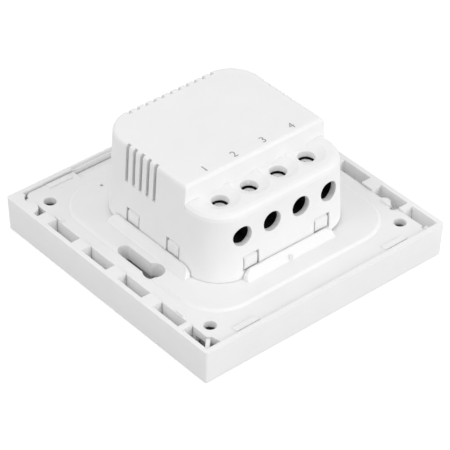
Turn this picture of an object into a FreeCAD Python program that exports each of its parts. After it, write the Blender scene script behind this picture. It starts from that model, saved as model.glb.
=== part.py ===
import FreeCAD, Part
import math
import os

# Smart light switch for two lamps, lying on its front face.
# X and Y lie in the front face, +Z points away from it to the wall box.
# The origin is the centre of the front face. Lengths are millimetres.
# Left and right are those of a person who looks at the front face.

V = FreeCAD.Vector

# Front frame
plate_side = 80.0          # across the rim that meets the wall
frame_depth = 10.2         # front face to rim
frame_lean = 0.4           # each side leans in by this towards the front face
frame_wall = 1.4
frame_corner_r = 0.8
front_edge_r = 0.3
border_thick = 2.2
border_wide = 7.0          # from the frame's side to its window
rib_reach = 3.1            # ribs stand in from the side walls by this
rib_wide = 4.1
rib_first_in = 12.2        # middle of the first rib from the rear wall
rib_last_in = 22.85        # middle of the last rib from the front wall
rib_count = 4
thin_rib_wide = 1.7
thin_rib_in = 10.0         # middle of the thin rib from the front wall
pocket_deep = 4.2          # of the pockets between the ribs, from the rim
fill_long = 5.6            # of the filled rear left corner, from the rear wall
web_thick = 1.05           # diagonal web in two corners
web_reach = 2.7            # round end of the web from both walls
web_low = 0.5              # top of the web below the rim
snap_post_wide = 1.6
snap_post_thick = 0.9
snap_nose = 0.6

# Mounting plate
plate_gap = 0.3            # between the plate's edge and the frame
seat_gap = 0.05            # between pieces that rest on each other
plate_thick = 2.0
plateau_rise = 0.6         # raised middle above the flange, flush with the rim
plateau_in = 4.15          # from the plate's side edge to the raised middle
plateau_corner_r = 11.0
plateau_slope = 0.7
skirt_wall = 1.2
pry_wide = 39.0            # sloping recess for a tool behind the rim
pry_deep = 3.8
pry_drop = 1.4
corner_hole_r = 1.7
corner_hole_in = 3.45      # from the plate's side edge
key_pitch = 60.0
key_slot_wide = 3.5
key_slot_y = 3.65
key_bulb_r = 2.85
key_bulb_y = 7.4
key_bulb_in = 0.5
key_pad_deep = 4.4         # the plate is thicker around a keyhole, from the rim
key_pad_wall = 1.2
pin_hole_side = 0.8
pin_hole_x = -17.8
pin_hole_y = 28.3
lug_wide = 7.4
lug_deep = 1.8
lug_rise = 0.3
lug_x = 24.9
catch_wide = 2.6
catch_deep = 0.9
catch_rise = 0.5
catch_y = 24.2
lobe_r = 1.7               # round lobes on the plate's side edges
lobe_in = 0.5
lobe_corner_in = 2.7       # middle of the rear lobe from the plate's rear edge
lobe_side_in = 15.4        # middle of the other lobe from the plate's front edge
lobe_gap = 0.4
notch_r = 1.1              # round notch beside the lobe in the right edge
notch_in = 0.45
notch_back = 12.0          # from the plate's front edge
plate_corner_r = 1.8       # of the plate's corner beside the filled one
corner_cut_x = 1.0         # the plate's corner is cut away beside a web
corner_cut_y = 3.6
corner_cut_slant = 0.8
skirt_gate_low = 2.2       # opening in the skirt behind a web, below the flange's top
skirt_gate_in = 2.3        # from the plate's front or rear edge
skirt_gate_long = 5.4

# Rear housing
box_foot_side = 48.2
box_depth = 25.0
box_lean_deg = 3.0
box_foot_r = 10.2
box_wall = 1.5
corner_facets = 3          # straight edges around an inner corner
box_edge_r = 0.8
corner_relief = 0.6        # the foot stands clear of the plateau at two corners
step_y = -11.4             # wall between the high part and the terminal ledge
ledge_thick = 2.5
ledge_edge_r = 1.8
vent_wide = 1.05
vent_long = 11.1
vent_side_pitch = 2.72
vent_side_count = 5
vent_side_y = 0.1
vent_back_pitch = 2.7
vent_back_count = 11
hold_rib_wide = 1.2

# Collar around the housing's foot and the snap hooks inside it
collar_gap = 0.1
collar_rise = 2.6
collar_land = 0.5
collar_ramp = 1.7
collar_end_r = 2.4
collar_half_x = 14.6       # front and back tabs
collar_half_y = 15.3       # left and right tabs
hook_wide = 4.2
hook_thick = 1.1
hook_wall_gap = 0.3
hook_nose = 1.75
hook_nose_bevel = 0.8
hook_low = 2.4             # underside of the nose above the rim
hook_high = 6.2
hook_side_gap = 0.5
hook_side_y = 7.86
hook_back_x = 11.8
snap_window_low = 2.0
snap_window_high = 6.6

# Terminals
terminal_count = 4
terminal_pitch = 9.53
terminal_y = -14.55
throat_r = 2.35
throat_long = 0.55         # the throat's collar below the ledge
throat_wall = 0.7
dish_r = 8.66
dish_rise = 7.03           # centre of the dish's sphere above the ledge
wire_hole_r = 2.8
wire_lift = 4.5            # wire holes' axis above the power board
block_gap = 0.3
block_back = 3.4           # the block's back face behind the step wall
cell_wide = 6.6
cell_front = 5.2           # cell ahead of the screw's axis
cell_back = 5.2
cell_floor = 1.2
entry_gap = 0.1
bar_wide = 4.0
bar_thick = 0.7
bar_above_wire = 0.4       # underside of the bar above the wire holes' axis
tail_wide = 2.0
tail_below = 0.4           # tail's end below the power board
cage_wide = 5.8
cage_wall = 0.6
cage_front = 4.0
cage_back = 3.8
cage_open = 2.55           # gap under the bar while the cage is down
cage_travel = 1.1
screw_r = 1.45
screw_fit = 0.06
screw_head_r = 1.95
screw_head_high = 0.8
screw_head_gap = 0.1
cage_gap = 0.05            # between a bar and its cage's top

# Rockers
rocker_gap = 0.25          # to the frame's window
rocker_split = 0.4         # between the two rockers
rocker_recess = 0.3        # the border stands ahead of the rockers
rocker_thick = 1.5
rocker_wall = 1.2
rocker_wall_deep = 2.4
rocker_edge_r = 0.3
rocker_rib_x = 6.0
pivot_in = 3.5             # pivots from the window's edge
pivot_z = 4.4
pivot_r = 1.0
pivot_fit = 0.08
pivot_long = 2.2
ear_x = 9.5                # ears on both sides of a rocker's middle
ear_thick = 1.6
ear_long = 4.4
bearing_thick = 2.0
bearing_long = 3.4
bearing_gap = 0.3
bearing_throat = 1.6
stop_long = 5.0
stop_reach = 1.2
stop_gap = 0.15
stop_thick = 1.0
press_y = -7.0
press_half = 1.3           # actuators are square

# Boards and what they carry
board_gap = 0.35           # from a board's edge to what stands around it
control_lift = 2.2         # control board above the rim
control_thick = 1.2
header_high = 3.4
power_thick = 1.6
peg_over_x = 2.0           # pegs stand this far beyond the centre of a board's corner arc
peg_over_y = 5.5
peg_half = 1.05            # pegs are square
peg_foot_r = 2.2           # half of the square foot's side
peg_gap = 0.15
board_screw_y = 17.8
board_screw_r = 0.9
board_screw_head_r = 1.8
board_screw_head_high = 1.2
board_screw_long = 4.4
screw_boss_r = 2.3         # half of the square boss's side
tact_side = 6.0
tact_high = 3.5
tact_window_gap = 0.5
stem_half = 1.5            # stems are square
stem_fit = 0.08
stem_gap = 0.08            # between a rocker's actuator and its stem
stem_in = 0.7
stem_travel = 0.51
lens_y = 10.0
lens_r = 1.45
lens_flange_r = 2.2
lens_flange_thick = 0.7
lens_fit = 0.05
guide_half = 1.4           # guides are square
guide_gap = 0.5            # ahead of and behind a light guide
led_side = 1.6
led_high = 1.0
header_y = -6.6
header_wide = 15.2
header_deep = 2.5
header_pins = 6
header_pin_side = 0.64
header_pin_out = 0.5
sheet_thick = 0.25
sheet_gap = 0.2
radio_wide = 18.0
radio_deep = 16.0
radio_thick = 0.8
radio_y = 4.0
can_wide = 15.0
can_deep = 12.0
can_high = 1.6
can_wall = 0.2
relay_wide = 10.2
relay_long = 18.4
relay_apart = 1.0
relay_y = 3.7
relay_head_gap = 0.5
relay_edge_r = 0.5
part_apart = 1.0           # between neighbouring parts on the power board
core_side = 11.0
core_high = 11.0
bobbin_flange = 1.2
smooth_r = 3.15
smooth_high = 12.0
smooth_apart = 1.2
film_wide = 12.6
film_deep = 5.0
film_high = 10.0
disc_r = 3.5
disc_thick = 3.5
fuse_r = 1.5
fuse_long = 9.0
fuse_lead_r = 0.35
bridge_wide = 4.6
bridge_deep = 3.8
bridge_high = 2.2

# Heights and half sizes that follow from the values above
rim_z = frame_depth
rim_half = plate_side / 2
cavity_half = rim_half - frame_wall
flange_top = rim_z - plateau_rise
flange_low = flange_top - plate_thick
flange_half_x = cavity_half - rib_reach - 0.5 * plate_gap
flange_half_y = cavity_half - plate_gap
rib_first_y = cavity_half - rib_first_in
rib_pitch = (rib_first_y - rib_last_in + cavity_half) / (rib_count - 1)
thin_rib_y = thin_rib_in - cavity_half
fill_y = cavity_half - fill_long
web_end = cavity_half - web_reach
lobe_corner_y = flange_half_y - lobe_corner_in
lobe_side_y = lobe_side_in - flange_half_y
notch_y = notch_back - flange_half_y
plateau_half = flange_half_x - plateau_in
box_top = rim_z + box_depth
box_foot_half = box_foot_side / 2
box_slope = math.tan(math.radians(box_lean_deg))
corner_hole_half = flange_half_x - corner_hole_in
terminal_xs = [terminal_pitch * (i - (terminal_count - 1) / 2) for i in range(terminal_count)]
control_low = rim_z + control_lift
control_top = control_low + control_thick
power_low = control_top + header_high
power_top = power_low + power_thick
wire_z = power_top + wire_lift
bar_low = wire_z + bar_above_wire
bar_top = bar_low + bar_thick
cage_top = bar_top + cage_gap + cage_wall
head_low = cage_top + cage_travel + screw_head_gap
head_top = head_low + screw_head_high
throat_low = head_top + 3 * screw_head_gap
ledge_low = throat_low + throat_long
ledge_top = ledge_low + ledge_thick
block_top = ledge_low - 2 * screw_head_gap
foot_of_step = ledge_top - ledge_edge_r
window_side = plate_side - 2 * border_wide
rocker_outer = window_side / 2 - rocker_gap
pivot_y = window_side / 2 - pivot_in
rocker_mid = (rocker_outer + rocker_split / 2) / 2
rocker_back = rocker_recess + rocker_thick
bearing_x = ear_x + ear_thick / 2 + bearing_gap + bearing_thick / 2
tact_low = control_low - tact_high
stem_low = tact_low - 1.0


def block(x0, x1, y0, y1, z0, z1):
    """Box between two corners."""
    return Part.makeBox(x1 - x0, y1 - y0, z1 - z0, V(x0, y0, z0))


def slab(x, y, wide, deep, z0, z1):
    """Box centred on x, y."""
    return block(x - wide / 2, x + wide / 2, y - deep / 2, y + deep / 2, z0, z1)


def post(x, y, r, z0, z1):
    """Upright cylinder."""
    return Part.makeCylinder(r, z1 - z0, V(x, y, z0))


def rod_x(x0, x1, y, z, r):
    """Cylinder along X."""
    return Part.makeCylinder(r, x1 - x0, V(x0, y, z), V(1, 0, 0))


def rod_y(x, y0, y1, z, r):
    """Cylinder along Y."""
    return Part.makeCylinder(r, y1 - y0, V(x, y0, z), V(0, 1, 0))


def join(shapes):
    """One solid from touching ones, without the seams between them."""
    first, rest = shapes[0], shapes[1:]
    return first.fuse(rest).removeSplitter() if rest else first


def turned(shape, degrees):
    """Copy turned about the Z axis."""
    copy = shape.copy()
    copy.rotate(V(0, 0, 0), V(0, 0, 1), degrees)
    return copy


def mirrored_x(shape):
    """Copy mirrored from one side of the part to the other."""
    return shape.mirror(V(0, 0, 0), V(1, 0, 0))


def round_outline(half_x, half_y, r, z):
    """Closed outline of a rectangle with round corners."""
    signs = [(1, 1), (-1, 1), (-1, -1), (1, -1)]
    arcs = []
    for turn, (sx, sy) in enumerate(signs):
        cx = sx * (half_x - r)
        cy = sy * (half_y - r)
        start = turn * math.pi / 2
        points = [V(cx + r * math.cos(start + k * math.pi / 4),
                    cy + r * math.sin(start + k * math.pi / 4), z) for k in range(3)]
        arcs.append(Part.Arc(*points).toShape())
    edges = []
    for i, arc in enumerate(arcs):
        following = arcs[(i + 1) % 4]
        edges.append(arc)
        edges.append(Part.makeLine(arc.Vertexes[-1].Point, following.Vertexes[0].Point))
    return Part.Wire(edges)


def round_slab(half_x, half_y, r, z0, z1):
    """Upright prism with round corners."""
    return Part.Face(round_outline(half_x, half_y, r, z0)).extrude(V(0, 0, z1 - z0))


def tapered(half_x, half_y, r, inset0, inset1, z0, z1):
    """Prism with round corners, made smaller by one inset at its start and one at its end."""
    low = round_outline(half_x - inset0, half_y - inset0, r - inset0, z0)
    high = round_outline(half_x - inset1, half_y - inset1, r - inset1, z1)
    return Part.makeLoft([low, high], True, True)


def edge_bands(half_x, half_y, r, inset, z, edge_r, direction, count):
    """Narrow bands that round a prism's end edge, from height z towards its end."""
    bands = []
    for i in range(count):
        a0 = i * math.pi / 2 / count
        a1 = (i + 1) * math.pi / 2 / count
        bands.append(tapered(half_x, half_y, r,
                             inset + edge_r * (1 - math.cos(a0)), inset + edge_r * (1 - math.cos(a1)),
                             z + direction * edge_r * math.sin(a0),
                             z + direction * edge_r * math.sin(a1)))
    return bands


def facet_points(half, r, z):
    """Corners of a square outline whose corners are cut by short straight edges."""
    points = []
    for turn, (sx, sy) in enumerate([(1, 1), (-1, 1), (-1, -1), (1, -1)]):
        for k in range(corner_facets + 1):
            a = (turn + k / corner_facets) * math.pi / 2
            points.append(V(sx * (half - r) + r * math.cos(a), sy * (half - r) + r * math.sin(a), z))
    return points


def facet_slab(half, r, z0, z1):
    """Upright board with cut corners."""
    return prism(facet_points(half, r, z0), V(0, 0, z1 - z0))


def prism(points, direction):
    """Straight prism from a polygon's corners."""
    return Part.Face(Part.makePolygon(points + points[:1])).extrude(direction)


def rounded(shape, r, wanted):
    """Shape with a radius on the edges that wanted picks."""
    return shape.makeFillet(r, [e for e in shape.Edges if wanted(e)])


def bevelled(shape, size, wanted):
    """Shape with a bevel on the edges that wanted picks."""
    return shape.makeChamfer(size, [e for e in shape.Edges if wanted(e)])


def level(edge, z):
    """Whether an edge lies at height z."""
    return all(abs(v.Z - z) < 1e-4 for v in edge.Vertexes)


def box_half(z):
    """Half of the housing's side at height z."""
    return box_foot_half - (z - rim_z) * box_slope


def box_r(z):
    """Corner radius of the housing at height z."""
    return box_foot_r - (z - rim_z) * box_slope


def housing_part(z0, z1, edge_r, count):
    """The housing's leaning body up to z1, where its edge is rounded."""
    start = z1 - edge_r
    inset = (start - rim_z) * box_slope
    body = tapered(box_foot_half, box_foot_half, box_foot_r,
                   (z0 - rim_z) * box_slope, inset, z0, start)
    bands = edge_bands(box_foot_half, box_foot_half, box_foot_r, inset, start, edge_r, 1, count)
    return join([body] + bands)


def inner_form(inset, z0, z1):
    """The leaning form inside the housing, with cut corners, smaller all round by inset."""
    rings = [facet_points(box_half(z) - inset, box_r(z) - inset, z) for z in (z0, z1)]
    faces = [Part.Face(Part.makePolygon(ring + ring[:1])) for ring in rings]
    count = len(rings[0])
    for i in range(count):
        k = (i + 1) % count
        corners = [rings[0][i], rings[0][k], rings[1][k], rings[1][i]]
        faces.append(Part.Face(Part.makePolygon(corners + corners[:1])))
    shell = Part.makeShell(faces)
    shell.sewShape()
    solid = Part.makeSolid(shell)
    return solid if solid.Volume > 0 else solid.reversed()


def rib_places():
    """Middle and width of each rib on one side wall."""
    wide = [(rib_first_y - i * rib_pitch, rib_wide) for i in range(rib_count)]
    return wide + [(thin_rib_y, thin_rib_wide)]


def front_frame():
    """Square frame with a window, side ribs and corner snap posts."""
    body = tapered(rim_half, rim_half, frame_corner_r, frame_lean, 0, front_edge_r, rim_z)
    body = join([body] + edge_bands(rim_half, rim_half, frame_corner_r, frame_lean,
                                    front_edge_r, front_edge_r, -1, 1))
    body = body.cut(block(-cavity_half, cavity_half, -cavity_half, cavity_half,
                          border_thick, rim_z + 1))
    half = window_side / 2
    body = body.cut(round_slab(half, half, frame_corner_r, -1, border_thick + 1))
    added = []
    for y, wide in rib_places():
        rib = block(-cavity_half, -cavity_half + rib_reach, y - wide / 2, y + wide / 2,
                    border_thick, rim_z)
        added += [rib, mirrored_x(rib)]
    added += [snap_post(), corner_fill()]
    floor = rim_z - pocket_deep
    added.append(block(-cavity_half, -cavity_half + rib_reach, thin_rib_y, fill_y,
                       border_thick, floor))
    added.append(block(cavity_half - rib_reach, cavity_half, -cavity_half, rib_first_y,
                       border_thick, floor))
    web = corner_web()
    added += [web, turned(web, 180)]
    body = join([body] + added)
    notch = block(-pry_wide / 2, pry_wide / 2, cavity_half - 1, cavity_half + 0.5 * frame_wall,
                  flange_top, rim_z + 1)
    return body.cut(notch)


def snap_post():
    """Post whose nose lies over the plate's edge, in the corner at +X and -Y."""
    y0 = -cavity_half
    outer = flange_half_x + plate_gap + snap_post_thick
    top = flange_top - 0.2
    inner = outer - snap_post_thick
    nose_low = top - 0.8
    profile = [V(outer, y0, border_thick), V(outer, y0, top), V(inner, y0, top),
               V(inner - snap_nose, y0, nose_low + 0.2), V(inner - snap_nose, y0, nose_low),
               V(inner, y0, nose_low), V(inner, y0, border_thick)]
    return prism(profile, V(0, snap_post_wide, 0))


def corner_web():
    """Diagonal web with a round end, in the corner at -X and -Y."""
    top = rim_z - web_low
    long = (cavity_half + 0.3 - web_end) * math.sqrt(2)
    web = block(0, long, -web_thick / 2, web_thick / 2, border_thick, top)
    web = turned(web, 225)
    web.translate(V(-web_end, -web_end, 0))
    return web.fuse(post(-web_end, -web_end, web_thick / 2, border_thick, top))


def corner_fill():
    """Solid corner at -X and +Y with a round end and a recess for the plate's lobe."""
    inner = -cavity_half + rib_reach - 0.5 * plate_gap
    body = block(-cavity_half, inner, fill_y, cavity_half, border_thick, rim_z)
    r = cavity_half + inner
    end = post(-cavity_half, fill_y, r, border_thick, rim_z)
    end = end.common(block(-cavity_half, inner, fill_y - r, fill_y, border_thick, rim_z))
    recess = post(-flange_half_x + lobe_in, lobe_corner_y, lobe_r + lobe_gap,
                  border_thick, rim_z + 1)
    return body.fuse(end).cut(recess)


def collar_tab(half_long):
    """Ramped tab along the housing's foot on the -Y side."""
    near = box_foot_half + collar_gap
    land = near + collar_land
    foot = land + collar_ramp
    top = rim_z + collar_rise
    low = rim_z - 0.3
    profile = [V(-half_long, -near, low), V(-half_long, -near, top), V(-half_long, -land, top),
               V(-half_long, -foot, rim_z), V(-half_long, -foot, low)]
    tab = prism(profile, V(2 * half_long, 0, 0))
    r = min(collar_end_r, collar_rise)
    k = r * (1 - math.sqrt(0.5))
    outline = [
        Part.makeLine(V(-half_long, -near, low), V(-half_long, -near, top - r)),
        Part.Arc(V(-half_long, -near, top - r), V(-half_long + k, -near, top - k),
                 V(-half_long + r, -near, top)).toShape(),
        Part.makeLine(V(-half_long + r, -near, top), V(half_long - r, -near, top)),
        Part.Arc(V(half_long - r, -near, top), V(half_long - k, -near, top - k),
                 V(half_long, -near, top - r)).toShape(),
        Part.makeLine(V(half_long, -near, top - r), V(half_long, -near, low)),
        Part.makeLine(V(half_long, -near, low), V(-half_long, -near, low)),
    ]
    mask = Part.Face(Part.Wire(outline)).extrude(V(0, near - foot - 1, 0))
    return tab.common(mask)


def snap_hook(x):
    """Spring arm with a nose, for a window in the housing's -Y wall."""
    outer = box_half(rim_z + hook_high) - box_wall - hook_wall_gap
    inner = outer - hook_thick
    low = rim_z + hook_low
    high = rim_z + hook_high
    tip = outer + hook_nose
    x0 = x - hook_wide / 2
    profile = [V(x0, -inner, rim_z - 0.3), V(x0, -inner, high), V(x0, -tip + hook_nose_bevel, high),
               V(x0, -tip, high - hook_nose_bevel), V(x0, -tip, low), V(x0, -outer, low),
               V(x0, -outer, rim_z - 0.3)]
    return prism(profile, V(hook_wide, 0, 0))


def keyhole():
    """Cutter for the keyhole on the -X side."""
    x = -key_pitch / 2
    r = key_slot_wide / 2
    low = rim_z - key_pad_deep - 1
    bulb = post(x + key_bulb_in, -key_bulb_y, key_bulb_r, low, rim_z + 1)
    end = post(x, key_slot_y, r, low, rim_z + 1)
    slot = block(x - r, x + r, -key_bulb_y, key_slot_y, low, rim_z + 1)
    return bulb.fuse([end, slot])


def keyhole_pad():
    """Thicker part of the plate around the keyhole on the -X side."""
    x = -key_pitch / 2 + key_bulb_in
    reach = key_bulb_r + key_pad_wall
    pad = block(x - reach, x + reach, -key_bulb_y - reach,
                key_slot_y + key_slot_wide / 2 + key_pad_wall,
                rim_z - key_pad_deep, flange_low + 0.2)
    return pad.common(block(-flange_half_x, 0, -flange_half_y, flange_half_y, 0, rim_z))


def bearing(x):
    """Bearing for a rocker's pivot pin, with a narrower way in for the pin."""
    low = pivot_z - 1.4
    body = slab(x, pivot_y, bearing_thick, bearing_long, low, flange_low + 0.2)
    r = pivot_r + pivot_fit
    hole = rod_x(x - bearing_thick, x + bearing_thick, pivot_y, pivot_z, r)
    throat = slab(x, pivot_y, 2 * bearing_thick, bearing_throat, low - 1, pivot_z)
    return body.cut(hole.fuse(throat))


def mounting_plate():
    """Plate that carries the boards, the housing, the rockers and the frame."""
    low = border_thick + seat_gap
    body = block(-flange_half_x, flange_half_x, -flange_half_y, flange_half_y, low, flange_top)
    inner_x = flange_half_x - skirt_wall
    inner_y = flange_half_y - skirt_wall
    body = body.cut([block(-inner_x, inner_x, -inner_y, inner_y, low - 1, flange_low),
                     pry_recess()])
    plateau = tapered(plateau_half, plateau_half, plateau_corner_r,
                      -plateau_slope, 0, flange_top, rim_z)
    added = [plateau]
    for sx in (-1, 1):
        for side_y in (-1, 1):
            added.append(slab(sx * lug_x, side_y * (flange_half_y - 0.3 - lug_deep / 2),
                              lug_wide, lug_deep, flange_top - 0.1, flange_top + lug_rise))
            added.append(slab(sx * (flange_half_x - catch_deep / 2 - 0.2), side_y * catch_y,
                              catch_deep, catch_wide, flange_top - 0.1, flange_top + catch_rise))
            added.append(bearing(sx * rocker_mid + side_y * bearing_x))
    for degrees, half_long, hook_at in ((0, collar_half_x, hook_back_x),
                                        (90, collar_half_y, hook_side_y),
                                        (180, collar_half_x, hook_back_x),
                                        (270, collar_half_y, hook_side_y)):
        added.append(turned(collar_tab(half_long), degrees))
        added.append(turned(snap_hook(-hook_at), degrees))
        added.append(turned(snap_hook(hook_at), degrees))
    pad = keyhole_pad()
    lobe_x = flange_half_x - lobe_in
    added += [pad, turned(pad, 180), post(-lobe_x, lobe_corner_y, lobe_r, flange_low, flange_top),
              post(lobe_x, lobe_side_y, lobe_r, flange_low, flange_top)]
    for x, y in peg_places():
        added.append(slab(x, y, 2 * peg_foot_r, 2 * peg_foot_r, rim_z - 0.2, control_low))
        added.append(slab(x, y, 2 * peg_half, 2 * peg_half, control_low - 0.2,
                          power_low - seat_gap))
    for s in (-1, 1):
        added.append(slab(0, s * board_screw_y, 2 * screw_boss_r, 2 * screw_boss_r,
                          rim_z - 0.2, control_low))
    body = join([body] + added)
    cuts = [keyhole(), turned(keyhole(), 180),
            slab(pin_hole_x, pin_hole_y, pin_hole_side, pin_hole_side, flange_low - 1, rim_z + 1)]
    cuts += [turned(cut, angle) for cut in corner_cuts() for angle in (0, 180)]
    cuts += [snap_notch(), corner_rounding()]
    for sx in (-1, 1):
        for sy in (-1, 1):
            cuts.append(post(sx * corner_hole_half, sy * corner_hole_half, corner_hole_r,
                             flange_low - 1, flange_top + 1))
        side = tact_side + 2 * tact_window_gap
        cuts.append(slab(sx * rocker_mid, press_y, side, side, flange_low - 1, rim_z + 1))
        side = 2 * (guide_half + lens_fit)
        cuts.append(slab(sx * rocker_mid, lens_y, side, side, flange_low - 1, rim_z + 1))
    cuts.append(post(flange_half_x - notch_in, notch_y, notch_r, flange_low - 1, flange_top + 1))
    for sy in (-1, 1):
        cuts.append(post(0, sy * board_screw_y, board_screw_r + lens_fit,
                         control_top - board_screw_long - 0.3, control_low + 1))
    return body.cut(cuts)


def pry_recess():
    """Cutter for the recess whose floor slopes down to the +Y edge."""
    y0 = flange_half_y - pry_deep
    y1 = flange_half_y + 1
    x = -pry_wide / 2
    profile = [V(x, y0, flange_top), V(x, y1, flange_top - pry_drop * (y1 - y0) / pry_deep),
               V(x, y1, flange_top + 1), V(x, y0, flange_top + 1)]
    return prism(profile, V(pry_wide, 0, 0))


def corner_cuts():
    """Cutters for the plate's corner and skirt around the web at -X and -Y."""
    low = border_thick - 1
    edge_x = -flange_half_x
    edge_y = -flange_half_y
    inner = edge_x + corner_cut_x
    corner = [V(edge_x - 1, edge_y + corner_cut_y, low), V(edge_x, edge_y + corner_cut_y, low),
              V(inner, edge_y + corner_cut_y - corner_cut_slant, low),
              V(inner + corner_cut_slant, edge_y - 1, low), V(edge_x - 1, edge_y - 1, low)]
    gate_y = edge_y + skirt_gate_in
    gate = block(edge_x - 1, edge_x + skirt_wall + 0.5, gate_y, gate_y + skirt_gate_long,
                 low, flange_top - skirt_gate_low)
    return [prism(corner, V(0, 0, flange_top + 1 - low)), gate]


def snap_notch():
    """Cutter for the step under the snap post's nose."""
    outer = flange_half_x + 1
    inner = flange_half_x + plate_gap - snap_nose - 0.3
    return block(inner, outer, -cavity_half - 1, -cavity_half + snap_post_wide + 0.3,
                 flange_top - 1.1, flange_top + 1)


def corner_rounding():
    """Cutter that rounds the plate's corner at -X and +Y."""
    x = -flange_half_x + plate_corner_r
    y = flange_half_y - plate_corner_r
    low = border_thick - 1
    corner = block(-flange_half_x - 1, x, y, flange_half_y + 1, low, flange_top + 1)
    return corner.cut(post(x, y, plate_corner_r, low, flange_top + 1))


def rear_housing():
    """Leaning box with vents, a terminal ledge with screw dishes, and wire holes."""
    foot = rim_z + seat_gap
    reach = box_foot_half + 1
    high = housing_part(foot, box_top, box_edge_r, 2).cut(step_cutter(reach))
    body = join([high, housing_part(foot, ledge_top, ledge_edge_r, 3)])
    hollow = inner_form(box_wall, foot - 1, box_top - box_wall)
    hollow = hollow.cut(block(-reach, reach, -reach, step_y + box_wall, ledge_low, box_top + 1))
    ribs = [r.common(hollow) for r in hold_ribs(reach)]
    side = 2 * (throat_r + throat_wall)
    ribs += [slab(x, terminal_y, side, side, throat_low, ledge_low + 0.2) for x in terminal_xs]
    body = join([body.cut(hollow)] + ribs)
    cuts = []
    for x in terminal_xs:
        dish = Part.makeSphere(dish_r, V(x, terminal_y, ledge_top + dish_rise), V(1, 0, 0))
        cuts.append(dish.common(block(x - dish_r, x + dish_r, -reach, step_y,
                                      ledge_low, box_top + 20)))
        cuts.append(post(x, terminal_y, throat_r, throat_low - 1, box_top))
        cuts.append(rod_y(x, -reach, -box_half(wire_z) + box_wall + 3, wire_z, wire_hole_r))
    cuts += snap_windows(reach) + vents(reach)
    edge = box_foot_half - box_foot_r + 1.5
    relief = block(edge, reach, -reach, -edge, foot - 1, foot + corner_relief)
    return body.cut(cuts + [relief, turned(relief, 180)])


def step_cutter(reach):
    """Cutter for the room above the terminal ledge, which rounds the step's upper edge."""
    profile = [V(-reach, -reach, foot_of_step), V(-reach, step_y, foot_of_step)]
    for i in range(3):
        a = i * math.pi / 4
        profile.append(V(-reach, step_y + box_edge_r * (1 - math.cos(a)),
                         box_top - box_edge_r * (1 - math.sin(a))))
    profile += [V(-reach, step_y + box_edge_r, box_top + 1), V(-reach, -reach, box_top + 1)]
    return prism(profile, V(2 * reach, 0, 0))


def hold_ribs(reach):
    """Ribs on the side walls that hold the power board down."""
    low = power_top + seat_gap
    depth = board_half(power_top) - 1.2
    ribs = []
    for y in (relay_y - relay_long / 2 - part_apart - hold_rib_wide / 2,
              relay_y + relay_long / 2 + part_apart + hold_rib_wide / 2):
        rib = block(-reach, -depth, y - hold_rib_wide / 2, y + hold_rib_wide / 2, low, box_top)
        ribs += [rib, mirrored_x(rib)]
    return ribs


def snap_windows(reach):
    """Cutters for the windows of the snap hooks."""
    low = rim_z + snap_window_low
    high = rim_z + snap_window_high
    wide = hook_wide + 2 * hook_side_gap
    cutters = []
    for degrees, at in ((0, hook_back_x), (90, hook_side_y), (180, hook_back_x),
                        (270, hook_side_y)):
        for x in (-at, at):
            cutter = block(x - wide / 2, x + wide / 2, -reach, -box_half(high) + box_wall + 1,
                           low, high)
            cutters.append(turned(cutter, degrees))
    return cutters


def vents(reach):
    """Cutters for the vent slots, which break the top's edge."""
    low = box_top - vent_long
    inner = box_half(box_top) - box_wall
    cutters = []
    for i in range(vent_side_count):
        y = vent_side_y + i * vent_side_pitch
        y0 = y - vent_wide / 2
        profile = [V(-reach, y0, low), V(-inner, y0, low), V(-inner, y0, box_top - box_wall),
                   V(-box_half(box_top) + box_edge_r, y0, box_top),
                   V(-box_half(box_top) + box_edge_r, y0, box_top + 1), V(-reach, y0, box_top + 1)]
        cutter = prism(profile, V(0, vent_wide, 0))
        cutters += [cutter, mirrored_x(cutter)]
    for i in range(vent_back_count):
        x = (i - (vent_back_count - 1) / 2) * vent_back_pitch
        cutters.append(block(x - vent_wide / 2, x + vent_wide / 2, inner, reach, low, box_top + 1))
    return cutters


def terminal_block():
    """Insulating block with a cell, a wire entry and a screw bore for each terminal."""
    back = step_y + block_back
    inset = box_wall + block_gap
    body = inner_form(inset, power_top, block_top)
    reach = box_foot_half + 1
    body = body.cut(block(-reach, reach, back, reach, power_top - 1, block_top + 1))
    cuts = []
    for x in terminal_xs:
        cuts.append(slab(x, terminal_y + (cell_back - cell_front) / 2, cell_wide,
                         cell_front + cell_back, power_top + cell_floor, head_low))
        r = wire_hole_r + entry_gap
        cuts.append(block(x - r, x + r, -reach, terminal_y - cell_front, wire_z - r, wire_z + r))
        cuts.append(slab(x, terminal_y, 2 * throat_r, 2 * throat_r, head_low - 1, throat_low))
        side = 2 * (throat_r + throat_wall + plate_gap)
        cuts.append(slab(x, terminal_y, side, side, throat_low - plate_gap, block_top + 1))
        cuts.append(tail_way(x))
    return body.cut(cuts)


def tail_way(x):
    """Cutter for a bar's tail at the back of its cell."""
    front = terminal_y + cell_back
    return block(x - bar_wide / 2 - 0.1, x + bar_wide / 2 + 0.1, front - 0.1,
                 front + bar_thick + 0.2, power_top - 1, bar_top + 0.1)


def terminal_bars():
    """Contact bars with solder tails down through the power board."""
    bars = []
    for x in terminal_xs:
        front = terminal_y - cell_front + 0.4
        back = terminal_y + cell_back + bar_thick + 0.1
        flat = block(x - bar_wide / 2, x + bar_wide / 2, front, back, bar_low, bar_top)
        tail = block(x - tail_wide / 2, x + tail_wide / 2, back - bar_thick, back,
                     power_low - tail_below, bar_low)
        bars.append(join([flat, tail]))
    return Part.makeCompound(bars)


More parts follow.
